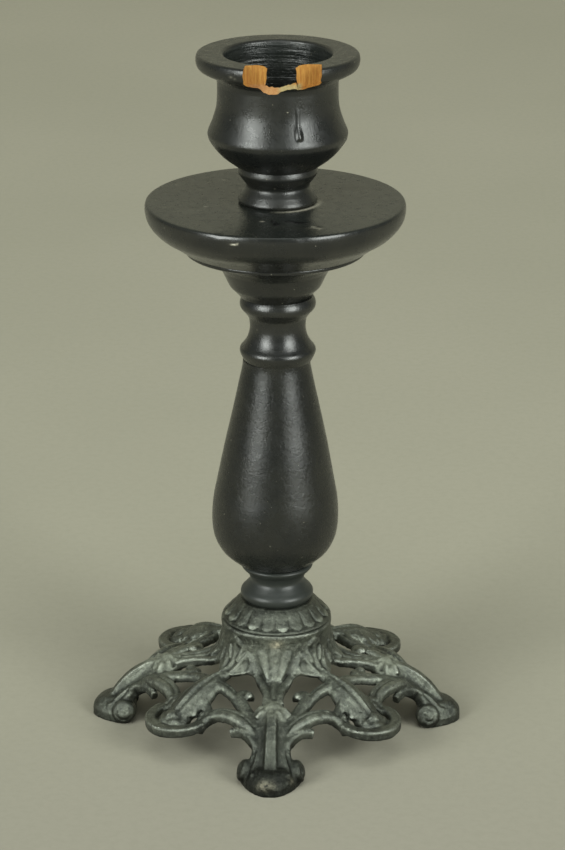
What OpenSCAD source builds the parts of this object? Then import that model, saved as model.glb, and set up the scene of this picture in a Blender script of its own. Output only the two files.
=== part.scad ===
// Turned wood candlestick on a pierced cast-iron foot.
// Millimetres, +Z up, origin on the floor under the axis, front foot towards -Y.

/* [Candle cup] */
// bore of the candle socket
socket_d = 31.8; // [20:0.1:33]
// depth of the candle socket below the rim
socket_depth = 26; // [15:0.5:30]
// outer diameter of the flat rim
rim_d = 48.4; // [44:0.1:60]
// outer diameter of the cup wall below the rim
cup_wall_d = 35.8; // [35:0.1:39]
// diameter of the belly of the cup
cup_belly_d = 41.5; // [40:0.1:50]
// width of the piece broken out of the rim
chip_w = 21.4; // [10:0.2:26]
// distance of the broken face from the axis
chip_face = 15.3; // [14.5:0.1:17]
// height of the broken flange face
chip_h = 5.8; // [4:0.1:6.5]

/* [Drip pan] */
// diameter of the drip pan
pan_d = 78; // [66:0.5:100]
// diameter of the step ring under the pan
pan_step_d = 54.6; // [48:0.2:60]
// widest diameter of the collar under the pan
collar_d = 32.6; // [30:0.2:40]

/* [Stem] */
// diameter of both beads of the neck spool
spool_bead_d = 22.8; // [21:0.1:28]
// diameter of the waist of the neck spool
spool_waist_d = 16.7; // [14:0.1:20]
// widest diameter of the baluster
bulb_d = 39; // [32:0.2:50]
// height of the baluster
baluster_h = 66.6; // [55:0.2:90]
// diameter of the torus of the foot ring
torus_d = 22.6; // [21:0.1:26]

/* [Iron foot] */
// height of the seam between foot and cap
base_h = 34.4; // [30:0.1:40]
// reach of each foot from the axis
foot_reach = 58; // [50:0.5:70]
// number of gadroons round the cap
gadroons = 20; // [12:4:24]
// depth of the grooves between the gadroons
groove_deep = 0.7; // [0.3:0.1:1]
// diameter of the rim of the cap
cap_d = 33.9; // [33.6:0.1:35]

/* [Bolt] */
// diameter of the tie bolt
bolt_d = 6.2; // [4:0.1:7]
// play of the bolt in the bores of the stack
bolt_play = 0.5; // [0.2:0.05:1]
// play of the cap on the raised ring of the foot
cap_play = 0.3; // [0.1:0.05:0.6]
// width across the flats of the square nut
nut_af = 11; // [10:0.1:13]

/* [Hidden] */

wood = [0.09, 0.09, 0.085];
iron = [0.19, 0.19, 0.175];
bright = [0.42, 0.41, 0.39];

cap_h = 6.1;
ring_h = 12.1;
spool_h = 20.3;
pan_h = 29.4;
cup_h = 45.1;

cap_z = base_h;
ring_z = cap_z + cap_h;
baluster_z = ring_z + ring_h;
spool_z = baluster_z + baluster_h;
pan_z = spool_z + spool_h;
cup_z = pan_z + pan_h;
top_z = cup_z + cup_h;

bore_r = bolt_d / 2 + bolt_play;
floor_z = top_z - socket_depth;
head_r = bolt_d;
head_h = 3.2;
head_sink = 0.2;
seat_z = floor_z - head_h - head_sink;
plate_t = 3.2;
plate_z = base_h - plate_t;
washer_t = 1.6;
nut_h = 5;
spigot_r = 12.6;
spigot_h = 1.2;

// A smooth curve through hand-set points of any dimension.
function pick(p, i) = p[max(0, min(len(p) - 1, i))];

function blend(a, b, c, d, t) =
    0.5 * (2 * b + (c - a) * t + (2 * a - 5 * b + 4 * c - d) * t * t
    + (3 * b - a - 3 * c + d) * t * t * t);

function curve(p, n) = [
    for (i = [0 : len(p) - 2])
        for (k = [0 : n - 1])
            blend(pick(p, i - 1), p[i], p[i + 1], pick(p, i + 2), k / n),
    p[len(p) - 1]
];

// Points given as [named radius, step from it, height], stepped at the scale of the piece.
function scaled(p, across, up) = [for (q = p) [q[0] + q[1] * across, q[2] * up]];

// Closes a turned outline with the bore on the inside and spins it.
module turned(outline, height) {
    rotate_extrude($fn = 96)
        polygon(concat([[bore_r, 0]], outline, [[bore_r, height]]));
}

// Candle cup: bead and flare at the foot, ogee belly, wide rim, open socket
// with a counterbore for the bolt's head in its floor.
module cup_outline() {
    w = cup_wall_d / 2;
    b = cup_belly_d / 2;
    r = rim_d / 2;
    s = socket_d / 2;
    m = rim_d / 48.4;
    h = cup_h / 45.1;
    foot = curve(scaled([[0, 11.3, 0], [0, 11.8, 1], [0, 10.8, 2.9], [0, 9.4, 5.2],
                         [0, 10.8, 7.4], [0, 11.9, 9.2], [0, 11.6, 11]], m, h), 4);
    belly = curve(scaled([[0, 12.4, 11.3], [0, 15.9, 13.9], [b, -2.5, 16.2], [b, -0.4, 19.2],
                          [b, 0, 21.5], [b, -1.2, 24.6], [w, 0.3, 28.6], [w, 0, 32],
                          [w, 0, 36]], m, h), 4);
    rim = curve(scaled([[w, 0.2, 37.6], [w, 1.5, 39], [r, -2.8, 39.7], [r, -0.7, 41],
                        [r, 0, 42.8], [r, -0.2, 44.5], [r, -0.9, 45.1]], m, h), 4);
    mouth = curve(scaled([[s, 0.9, 45.1], [s, 0.25, 44.8], [s, 0, 44.1]], m, h), 3);
    polygon(concat([[bore_r, 0]], foot, belly, rim, mouth,
                   [[s, cup_h - socket_depth], [head_r + bolt_play, cup_h - socket_depth],
                    [head_r + bolt_play, seat_z - cup_z], [bore_r, seat_z - cup_z]]));
}

module chip() {
    notch_w = chip_w * 0.58;
    notch_h = chip_h * 1.05;
    // the flange split off along the grain, down to its underside
    translate([-chip_w / 2, -chip_face - chip_w, cup_h - chip_h])
        cube([chip_w, chip_w, 3 * chip_h]);
    // the break runs out through the thin wall below, sloping down to the outside
    translate([-notch_w * 0.6, -chip_face - 0.3, cup_h - chip_h - 0.2])
        rotate([42, 0, 0])
            translate([0, -notch_h * 1.3, 0])
                cube([notch_w, notch_h * 1.3, notch_h]);
}

module candle_cup() {
    color(wood)
        translate([0, 0, cup_z])
            difference() {
                rotate_extrude($fn = 96)
                    cup_outline();
                rotate([0, 0, 3])
                    translate([chip_w * 0.075, 0, 0])
                        chip();
            }
}

// Drip pan: disc with an ovolo edge, step ring, cove and bowl-shaped collar.
module drip_pan() {
    r = pan_d / 2;
    s = pan_step_d / 2;
    c = collar_d / 2;
    m = pan_d / 78;
    h = pan_h / 29.4;
    collar = curve(scaled([[0, 10.7, 0], [0, 11.4, 0.9], [c, -3.4, 2.5], [c, -2.4, 3.6],
                           [c, -1.1, 6.3], [c, 0, 8.6]], m, h), 4);
    cove = curve(scaled([[c, 0.9, 9.6], [c, 2.2, 11], [s, -6.6, 12.2], [s, -0.4, 14.3]], m, h), 4);
    step = scaled([[s, 0, 14.6], [s, 0, 15.6]], m, h);
    ovolo = curve(scaled([[s, 0.8, 15.7], [r, -6.9, 18.5], [r, -3.8, 20.5], [r, -1.8, 22.5],
                          [r, -0.5, 24.6], [r, 0, 26.8], [r, 0, 28.2], [r, -0.4, 29.4]], m, h), 4);
    color(wood)
        translate([0, 0, pan_z])
            turned(concat(collar, cove, step, ovolo), pan_h);
}

// Neck spool: bead, waist and bead.
module neck_spool() {
    b = spool_bead_d / 2;
    w = spool_waist_d / 2;
    m = spool_bead_d / 22.8;
    h = spool_h / 20.3;
    outline = curve(scaled([[b, -1.1, 0], [b, -0.45, 1.2], [b, 0, 3.2], [b, -0.6, 4.7],
                            [w, 1.1, 6.9], [w, 0.1, 9.4], [w, 0, 10.9], [w, 0.4, 13.6],
                            [w, 1.6, 15.3], [b, -0.2, 16.9], [b, 0, 18.1], [b, -0.3, 19.3],
                            [b, -0.8, 20.3]], m, h), 4);
    color(wood)
        translate([0, 0, spool_z])
            turned(outline, spool_h);
}

// Baluster: long taper that swells to a bulb low down.
module baluster() {
    b = bulb_d / 2;
    m = bulb_d / 39;
    h = baluster_h / 66.6;
    shape = curve(scaled([[b, -9.6, 0], [b, -7.5, 0.9], [b, -4.45, 3.4], [b, -2.65, 5.4],
                          [b, -1.1, 8.4], [b, -0.3, 11.4], [b, 0, 15.6], [b, -0.37, 21.4],
                          [b, -1.4, 27.4], [b, -3.7, 39.4], [b, -6.35, 51.4], [b, -8.85, 63.4],
                          [b, -9.25, 66.6]], m, h), 4);
    color(wood)
        translate([0, 0, baluster_z])
            turned(shape, baluster_h);
}

// Foot ring: torus below, cove, and the thin disc that the baluster stands on.
module foot_ring() {
    t = torus_d / 2;
    m = torus_d / 22.6;
    h = ring_h / 12.1;
    outline = curve(scaled([[t, -1.4, 0], [t, -0.4, 0.9], [t, 0, 2.1], [t, -0.3, 3.2],
                            [t, -1.5, 4.5], [t, -2.7, 6.1], [0, 8.45, 7.3], [0, 9.2, 9],
                            [0, 10.3, 10.1], [0, 11, 11], [0, 11, 11.6], [0, 10.5, 12.1]],
                           m, h), 4);
    color(wood)
        translate([0, 0, ring_z])
            turned(outline, ring_h);
}

// Cap: domed iron casting with a ring of gadroons above a plain rim.
module boss_cap() {
    r = cap_d / 2;
    m = cap_d / 33.9;
    h = cap_h / 6.1;
    outside = curve(scaled([[r, -0.25, 0.05], [r, 0, 0.35], [r, -0.25, 0.75], [r, -0.75, 1.2],
                            [r, -1.45, 1.9], [r, -2.25, 2.8], [r, -3.05, 3.7], [r, -3.85, 4.6],
                            [r, -4.75, 5.4], [r, -5.75, 6.05]], m, h), 3);
    hollow = spigot_r + cap_play;
    roof = cap_h / 2;
    color(iron)
        translate([0, 0, cap_z])
            difference() {
                rotate([0, 0, 180 / gadroons])
                    rotate_extrude($fn = 96)
                        polygon(concat([[r - 0.35, 0]], outside,
                                       [[bore_r, cap_h], [bore_r, roof], [0.63 * hollow, roof],
                                        [hollow, 0.64 * roof], [hollow, 0]]));
                for (i = [0 : gadroons - 1])
                    rotate([0, 0, i * 360 / gadroons])
                        translate([r - 0.3 - groove_deep, 0, 0.3 * cap_h])
                            rotate([0, -46, 0])
                                cylinder(r1 = 1.15, r2 = 0.7, h = 1.3 * cap_h, $fn = 24);
            }
}

// Outward direction of the shell at a point: level on the skirt, upward further out.
function lean(p) =
    let (r = norm([p[0], p[1]]), a = 80 * max(0, min(1, (23 - r) / 5)))
    [p[0] / r * sin(a), p[1] / r * sin(a), cos(a)];

function unit(v) = v / norm(v);

// Corner points of a strand's section: half-width w, edge drop e, edge depth t.
function ridge_section(w, e, t) =
    [[-0.8 * w, -e - t], [-w, -e], [-0.45 * w, -0.3 * e], [0, 0],
     [0.45 * w, -0.3 * e], [w, -e], [0.8 * w, -e - t]];

function plain_section(w, e, t) =
    [[-w, -e - 0.8 * t], [-0.6 * w, -0.3 * e], [0.6 * w, -0.3 * e], [w, -e - 0.8 * t]];

function leg_section(w, e, t) =
    [[-0.8 * w, -e - t], [-w, -e], [-0.3 * w, -0.3 * e - 0.7], [-0.22 * w, 0],
     [0.22 * w, 0], [0.3 * w, -0.3 * e - 0.7], [w, -e], [0.8 * w, -e - t]];

function double_section(w, e, t) =
    [[-w, -e - 0.8 * t], [-0.6 * w, 0], [0, -e], [0.6 * w, 0], [w, -e - 0.8 * t]];

function section(kind, w, e, t) =
    kind == 1 ? ridge_section(w, e, t)
    : kind == 2 ? double_section(w, e, t)
    : kind == 3 ? leg_section(w, e, t)
    : plain_section(w, e, t);

// Plan and height scale of the openwork with the reach and height of the foot.
function at_size(p) =
    let (k = foot_reach / 58, m = base_h / 34.4, r = norm([p[0], p[1]]),
         q = 1 + (k - 1) * max(0, min(1, (r - 19) / 20)))
    [p[0] * q, p[1] * q, p[2] * m, p[3], p[4], p[5]];

// One cast strand: a section carried along points [x, y, z, half-width, drop, depth].
module strand(points, n, kind) {
    c = curve([for (p = points) at_size(p)], n);
    last = len(c) - 1;
    m = len(section(kind, 1, 1, 1));
    body = [
        for (i = [0 : last])
            let (a = c[max(0, i - 1)], b = c[min(last, i + 1)], p = c[i],
                 along = unit([b[0] - a[0], b[1] - a[1], b[2] - a[2]]),
                 up = lean(p), side = unit(cross(along, up)))
                for (s = section(kind, p[3], p[4], p[5]))
                    let (q = [p[0], p[1], p[2]] + side * s[0] + up * s[1])
                        [q[0], q[1], max(0, q[2])]
    ];
    walls = [
        for (i = [0 : last - 1])
            for (j = [0 : m - 1])
                let (k = (j + 1) % m, u = i * m, v = u + m)
                    each [[u + j, v + j, v + k], [u + j, v + k, u + k]]
    ];
    ends = [
        for (j = [1 : m - 2])
            each [[0, j, j + 1], [last * m, last * m + j + 1, last * m + j]]
    ];
    polyhedron(body, concat(walls, ends));
}

// A rounded lump of the casting.
module lump(p, r, flat) {
    q = at_size([p[0], p[1], p[2], 0, 0, 0]);
    translate([q[0], q[1], q[2]])
        scale([1, 1, flat])
            sphere(r = r, $fn = 7);
}

// A flower of the casting: a lobed disc, smaller at the top, turned and tipped.
module bloom(p, r, lobes, tall, turn, tip) {
    q = at_size([p[0], p[1], p[2], 0, 0, 0]);
    translate([q[0], q[1], q[2]])
        rotate([0, 0, turn])
            rotate([0, tip, 0])
                linear_extrude(tall, scale = 0.62, slices = 1)
                    polygon([for (i = [0 : 2 * lobes - 1])
                        let (a = i * 180 / lobes, k = i % 2 == 0 ? r : r * 0.82)
                            k * [cos(a), sin(a)]]);
}

// Half of a leg's side work: edge strand with its spur, scroll arm, volute and stem.
module half_work() {
    // edge of the leg from the ear at the toe up to the free spur
    strand([[50.4, 6.7, 4.4, 1.5, 0.5, 3.4], [48.4, 5.7, 7.6, 1.5, 0.5, 3.4],
            [45.2, 4.8, 11, 1.2, 0.6, 3], [42.4, 6, 13.3, 1.3, 0.6, 2.8],
            [40, 8.4, 13.9, 1.3, 0.5, 2.6], [37.4, 12.8, 12.9, 1.1, 0.4, 2.6]], 1, 0);
    // scroll arm with two ridges, from the leg to the end of the ring
    strand([[42.4, 4.5, 13.8, 1.6, 0.7, 2.6], [38.6, 7.6, 16.5, 2.4, 0.9, 2.8],
            [34.8, 12, 17.4, 2.6, 0.9, 2.8], [32, 16, 16.8, 2.5, 0.9, 2.8],
            [31.4, 19.4, 15.5, 2.3, 0.8, 2.8], [32.9, 21.9, 14.1, 1.9, 0.7, 2.8],
            [36, 23.2, 12.9, 1.6, 0.6, 3]], 1, 2);
    // volute beside the rosette, hooked over at its head
    strand([[39, 4.7, 15.6, 2, 0.6, 2.8], [34.4, 7.2, 17.2, 2, 0.6, 2.7],
            [30, 9.2, 18.7, 1.8, 0.6, 2.6], [26.4, 9.9, 19.5, 1.5, 0.5, 2.4],
            [24.7, 8.4, 19.4, 1.3, 0.4, 2.2]], 1, 0);
    lump([26.2, 7.5, 18.8], 1.9, 0.85);
    // stem that climbs from the volute to the root of the leaf
    strand([[33.4, 8, 17, 1.3, 0.6, 2.4], [29.6, 10.2, 18.4, 1.5, 0.6, 2.4],
            [24.4, 13.4, 20.2, 1.9, 0.7, 2.4], [20.2, 17.8, 21, 2.2, 0.8, 2.6]], 1, 0);
    // web from the side of the leaf down to the arm
    strand([[24.6, 21.4, 18, 1.5, 0.5, 2.4], [28, 20.2, 16.4, 1.4, 0.5, 2.4],
            [31.4, 19.2, 15.2, 1.4, 0.5, 2.2]], 1, 0);
    // side lobe of the palmette on the skirt, which runs on as the edge of the stem
    strand([[16.6, 4.4, 29.4, 1.2, 0.3, 1.6], [17.3, 4.3, 26, 1.6, 0.5, 1.8],
            [19.6, 3.6, 22.6, 1.4, 0.5, 2], [23, 3, 20.9, 1.1, 0.4, 2.3],
            [29, 2.2, 19.7, 1.1, 0.4, 2.4]], 1, 0);
    // curled ear beside the toe
    hull() {
        lump([47.8, 6.4, 3.6], 3.4, 1);
        lump([47.9, 7.9, 3.7], 2.9, 1);
    }
}

// One leg on +X: palmette stem, rosette, ridged leg and pointed toe.
module leg() {
    // palmette, spreading into the skirt
    strand([[17.1, 0, 31.2, 1.2, 0.3, 1.8], [17.8, 0, 27.2, 1.8, 0.6, 2], [19.1, 0, 22.8, 3.8, 0.6, 2.2],
            [21.4, 0, 21, 3, 0.6, 2.4], [25, 0, 20.2, 2.1, 0.5, 2.6],
            [30, 0, 19.3, 2.1, 0.5, 3]], 1, 0);
    // body of the leg with its central bar
    strand([[29, 0, 18.2, 1.8, 0.6, 3], [31.6, 0, 18.5, 4.4, 1.6, 2.6], [35, 0, 18.6, 6.2, 2.6, 2.4],
            [38.4, 0, 18.5, 6.6, 3.7, 2.4], [42.2, 0, 17.1, 5.7, 4.5, 2.4], [45.4, 0, 15, 4.8, 4.5, 3],
            [48.6, 0, 12, 4.9, 3.8, 4], [51.2, 0, 8.6, 6.2, 2.8, 4.5]], 1, 3);
    // toe
    hull() {
        for (s = [-1, 1]) {
            translate([49.4 * foot_reach / 58, s * 6.2, 0])
                cylinder(r1 = 2.6, r2 = 1.9, h = 4.2, $fn = 8);
            translate([54.2 * foot_reach / 58, s * 3, 0])
                cylinder(r1 = 2.3, r2 = 1.4, h = 4.1, $fn = 8);
        }
        translate([foot_reach - 2.4, 0, 0])
            cylinder(r1 = 2.4, r2 = 1.4, h = 3.6, $fn = 8);
        translate([52.4 * foot_reach / 58, 0, 0])
            cylinder(r1 = 3, r2 = 2.2, h = 6.6, $fn = 8);
    }
    // rosette, petals round an eye
    bloom([34.4, 0, 16.8], 6.1, 6, 3.1, 0, 6);
    lump([34.6, 0, 19.3], 1.7, 0.6);
    // side work, the same on both sides
    half_work();
    mirror([0, 1, 0])
        half_work();
}

// One leaf panel on the diagonal: skirt tip, ridged leaf, flower and open ring.
module panel() {
    // corner tip of the skirt
    strand([[12, 12, 30, 0.7, 0.4, 1.6], [12.4, 12.4, 25.4, 1.6, 0.6, 2],
            [14, 14, 22.6, 2.2, 0.6, 2.2], [16.6, 16.6, 20.7, 1.2, 0.5, 2.2]], 1, 0);
    // leaf
    strand([[14.6, 14.6, 22.8, 1.6, 0.4, 2.6], [17.3, 17.3, 22.1, 1.9, 0.5, 2.8],
            [19.2, 19.2, 21.9, 3.4, 1.1, 2.6], [22.3, 22.3, 21.1, 4.6, 2.4, 2.5],
            [25.5, 25.5, 19.5, 4.9, 2.8, 2.5], [28.3, 28.3, 16.9, 4.6, 2.2, 2.6],
            [30, 30, 15, 3.6, 1.5, 2.8]], 1, 1);
    // flower at the end of the leaf
    bloom([30.5, 30.5, 11.9], 5.4, 6, 2.9, 45, 6);
    lump([30.7, 30.7, 14.5], 1.7, 0.6);
    // ring, open towards the axis, deeper at the outside
    strand([for (a = [-52 : 19.4 : 143])
            let (d = abs(a - 45) / 97)
                [29 + 8.65 * cos(a), 29 + 8.65 * sin(a), 12.9 + 0.7 * d * d,
                 1.9 - 0.1 * d, 0.3, 3.3 - 0.6 * d]], 1, 0);
}

// Skirt: bell that hangs from the top plate. Its hem runs out to a tip on each diagonal
// and arches up between the tips and the stems of the legs.
module skirt() {
    n = 48;
    ring = [
        for (i = [0 : n - 1])
            let (a = i * 360 / n, c = (1 - cos(4 * a)) / 2, tip = pow(c, 3),
                 arch = 4 * pow(c, 0.5) * (1 - pow(c, 0.5)))
                [for (p = [[bore_r, base_h + spigot_h], [spigot_r, base_h + spigot_h],
                           [spigot_r, base_h], [16.5 + 0.5 * c, base_h],
                           [17.2 + 0.5 * c, base_h * 0.975], [17 + 0.1 * c, base_h * 0.9],
                           [17 + 0.1 * c, base_h * 0.78], [17.4 + 0.9 * c, base_h * 0.7],
                           [18.4 + 4.4 * tip, base_h * (0.63 + 0.02 * arch - 0.02 * tip)],
                           [17.2 + 4.4 * tip, base_h * (0.6 + 0.02 * arch - 0.02 * tip)],
                           [15.9 + 0.8 * c, base_h * 0.66], [14.9, base_h * 0.76],
                           [14.6, plate_z], [bore_r, plate_z]])
                    [p[0] * cos(a), p[0] * sin(a), p[1]]]
    ];
    m = len(ring[0]);
    faces = [
        for (i = [0 : n - 1])
            for (j = [0 : m - 1])
                let (k = (j + 1) % m, u = i * m, v = ((i + 1) % n) * m)
                    each [[u + j, v + j, v + k], [u + j, v + k, u + k]]
    ];
    polyhedron([for (r = ring) each r], faces);
}

module cast_base() {
    color(iron) {
        union() {
            skirt();
            for (q = [0 : 3])
                rotate([0, 0, q * 90]) {
                    leg();
                    panel();
                }
        }
    }
}

// Tie bolt: slotted head sunk in the floor of the socket, shank down through the stack.
module tie_bolt() {
    tip = plate_z - washer_t - nut_h - 1.5;
    head = curve([[head_r, 0], [head_r - 0.1, 1], [head_r - 1.4, 2.5], [0, head_h]], 4);
    color(bright)
        difference() {
            union() {
                translate([0, 0, seat_z])
                    rotate_extrude($fn = 64)
                        polygon(concat([[0, 0]], head));
                translate([0, 0, tip + 0.8])
                    cylinder(d = bolt_d, h = seat_z - tip, $fn = 48);
                translate([0, 0, tip])
                    cylinder(d1 = bolt_d - 1.6, d2 = bolt_d, h = 0.8, $fn = 48);
            }
            translate([-head_r - 1, -0.7, seat_z + head_h - 1.4])
                cube([2 * head_r + 2, 1.4, 3]);
        }
}

module washer() {
    color(bright)
        translate([0, 0, plate_z - washer_t])
            difference() {
                cylinder(d = nut_af + 5, h = washer_t, $fn = 64);
                translate([0, 0, -1])
                    cylinder(r = bolt_d / 2 + 0.3, h = washer_t + 2, $fn = 48);
            }
}

module square_nut() {
    color(bright)
        translate([0, 0, plate_z - washer_t - nut_h])
            difference() {
                intersection() {
                    translate([-nut_af / 2, -nut_af / 2, 0])
                        cube([nut_af, nut_af, nut_h]);
                    cylinder(r1 = nut_af * 0.62, r2 = nut_af * 0.62 + nut_h * 1.7, h = nut_h, $fn = 64);
                }
                translate([0, 0, -1])
                    cylinder(d = bolt_d, h = nut_h + 2, $fn = 48);
            }
}

candle_cup();
drip_pan();
neck_spool();
baluster();
foot_ring();
boss_cap();
cast_base();
tie_bolt();
washer();
square_nut();
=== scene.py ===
"""Looks of a turned, black-painted candlestick on a pierced cast-iron foot."""

import math

import bmesh
import bpy
import numpy as np
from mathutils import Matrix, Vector, noise


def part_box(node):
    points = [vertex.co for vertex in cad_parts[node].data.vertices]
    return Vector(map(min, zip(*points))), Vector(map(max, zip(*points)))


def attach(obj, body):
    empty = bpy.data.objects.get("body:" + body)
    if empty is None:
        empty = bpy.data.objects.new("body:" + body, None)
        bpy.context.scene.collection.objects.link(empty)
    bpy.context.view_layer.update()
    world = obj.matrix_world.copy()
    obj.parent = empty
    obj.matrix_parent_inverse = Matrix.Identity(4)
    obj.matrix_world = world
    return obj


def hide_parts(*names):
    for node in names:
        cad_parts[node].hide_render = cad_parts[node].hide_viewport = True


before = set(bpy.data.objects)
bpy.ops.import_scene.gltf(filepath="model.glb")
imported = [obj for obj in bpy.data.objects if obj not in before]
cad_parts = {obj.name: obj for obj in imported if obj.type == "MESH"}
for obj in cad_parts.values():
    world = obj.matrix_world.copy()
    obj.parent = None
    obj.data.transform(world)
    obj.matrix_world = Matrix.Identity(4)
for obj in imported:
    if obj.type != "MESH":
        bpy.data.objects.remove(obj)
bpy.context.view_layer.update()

MM = 0.001
ROOT = "root"


# Mesh helpers

def smooth_curve(points, n):
    """Points of any dimension joined by a Catmull-Rom curve, n steps a span."""
    p = np.array(points, float)
    p = np.vstack([p[:1], p, p[-1:]])
    out = []
    for i in range(1, len(p) - 2):
        a, b, c, d = p[i - 1], p[i], p[i + 1], p[i + 2]
        for k in range(n):
            t = k / n
            out.append(0.5 * (2 * b + (c - a) * t + (2 * a - 5 * b + 4 * c - d) * t * t
                              + (3 * b - a - 3 * c + d) * t ** 3))
    out.append(p[-2])
    return np.array(out)


def line(a, b, step):
    """Points from a to b, both included, about step apart."""
    a, b = np.array(a, float), np.array(b, float)
    n = max(1, int(round(np.linalg.norm(b - a) / step)))
    return np.array([a + (b - a) * k / n for k in range(n + 1)])


def shade(obj, sharp_angle=40):
    mesh = obj.data
    mesh.polygons.foreach_set("use_smooth", [True] * len(mesh.polygons))
    if sharp_angle:
        mesh.set_sharp_from_angle(angle=math.radians(sharp_angle))
    mesh.update()


def make_object(name, verts_mm, faces, materials=(), sharp_angle=40):
    mesh = bpy.data.meshes.new(name)
    mesh.from_pydata((np.asarray(verts_mm, float) * MM).tolist(), [], faces)
    mesh.validate()
    obj = bpy.data.objects.new(name, mesh)
    bpy.context.scene.collection.objects.link(obj)
    for m in materials:
        mesh.materials.append(m)
    shade(obj, sharp_angle)
    return obj


def ring_faces(rows, cols, close_rows=False, close_cols=True):
    """Quads over rows x cols points."""
    faces = []
    for i in range(rows if close_rows else rows - 1):
        a, b = i * cols, ((i + 1) % rows) * cols
        for j in range(cols if close_cols else cols - 1):
            k = (j + 1) % cols
            faces.append((a + j, a + k, b + k, b + j))
    return faces


def wave(v, scale, seed):
    """Smooth seeded noise, about -1 to 1, for an array of points."""
    off = Vector((seed * 17.3, seed * 5.1, seed * 9.7))
    return np.array([noise.noise(Vector(p) * scale + off) for p in v])


def bump_at(v, centre, radii):
    """Soft round weight, 1 at the centre, for an array of points."""
    d = (v - np.array(centre, float)) / np.array(radii, float)
    return np.exp(-(d ** 2).sum(1))


def lathe(name, profile, segs, materials, bend=None, sharp_angle=40):
    """Closed profile of (r, z) in mm, anticlockwise with r to the right, spun once."""
    prof = np.array(profile, float)
    ang = np.arange(segs) * 2 * math.pi / segs
    r, z = prof[:, 0][:, None], prof[:, 1][:, None]
    x, y = r * np.cos(ang), r * np.sin(ang)
    v = np.stack([x, y, np.broadcast_to(z, x.shape)], -1).reshape(-1, 3)
    if bend is not None:
        v = bend(v)
    return make_object(name, v, ring_faces(len(prof), segs, close_rows=True),
                       materials, sharp_angle)


def set_mask(obj, name, values):
    layer = obj.data.attributes.new(name, "FLOAT", "POINT")
    layer.data.foreach_set("value", np.asarray(values, np.float32))


def points_mm(obj):
    co = np.empty(len(obj.data.vertices) * 3, np.float32)
    obj.data.vertices.foreach_get("co", co)
    return co.reshape(-1, 3).astype(float) / MM


def apply_modifiers(obj):
    graph = bpy.context.evaluated_depsgraph_get()
    new = bpy.data.meshes.new_from_object(obj.evaluated_get(graph))
    obj.modifiers.clear()
    old = obj.data
    obj.data = new
    bpy.data.meshes.remove(old)
    return obj


# Material helpers

def node(tree, kind, inputs=None, **settings):
    n = tree.nodes.new("ShaderNode" + kind)
    for key, value in settings.items():
        setattr(n, key, value)
    for key, value in (inputs or {}).items():
        socket = n.inputs[key]
        if isinstance(value, bpy.types.NodeSocket):
            tree.links.new(value, socket)
        else:
            socket.default_value = value
    return n


def new_material(name, **values):
    mat = bpy.data.materials.new(name)
    mat.use_nodes = True
    tree = mat.node_tree
    shader = tree.nodes["Principled BSDF"]
    for key, value in values.items():
        shader.inputs[key.replace("_", " ")].default_value = value
    return mat, tree, shader


def rgb(r, g, b):
    return (r, g, b, 1.0)


def placed(tree, sx=1.0, sy=1.0, sz=1.0):
    """Coordinates in millimetres, stretched by a factor an axis."""
    coords = node(tree, "TexCoord").outputs["Object"]
    return node(tree, "Mapping", {"Vector": coords,
                                  "Scale": (sx / MM, sy / MM, sz / MM)}).outputs[0]


def fuzz(tree, vec, scale, detail=3.0, rough=0.55, distort=0.0):
    return node(tree, "TexNoise", {"Vector": vec, "Scale": scale, "Detail": detail,
                                   "Roughness": rough, "Distortion": distort}).outputs[0]


def ramp(tree, value, low, high, to_low=0.0, to_high=1.0):
    return node(tree, "MapRange", {"Value": value, "From Min": low, "From Max": high,
                                   "To Min": to_low, "To Max": to_high},
                interpolation_type="SMOOTHSTEP").outputs[0]


def maths(tree, op, a, b=0.0):
    n = node(tree, "Math", operation=op)
    for i, value in enumerate((a, b)):
        if isinstance(value, bpy.types.NodeSocket):
            tree.links.new(value, n.inputs[i])
        else:
            n.inputs[i].default_value = value
    return n.outputs[0]


def mix(tree, factor, a, b):
    n = node(tree, "Mix", data_type="RGBA")
    for socket, value in ((n.inputs[0], factor), (n.inputs[6], a), (n.inputs[7], b)):
        if isinstance(value, bpy.types.NodeSocket):
            tree.links.new(value, socket)
        else:
            socket.default_value = value
    return n.outputs[2]


def mask(tree, name):
    return node(tree, "Attribute", attribute_name=name).outputs["Fac"]


def bump(tree, height, strength, distance_mm, normal=None):
    inputs = {"Height": height, "Strength": strength, "Distance": distance_mm * MM}
    if normal is not None:
        inputs["Normal"] = normal
    return node(tree, "Bump", inputs).outputs[0]


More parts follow.
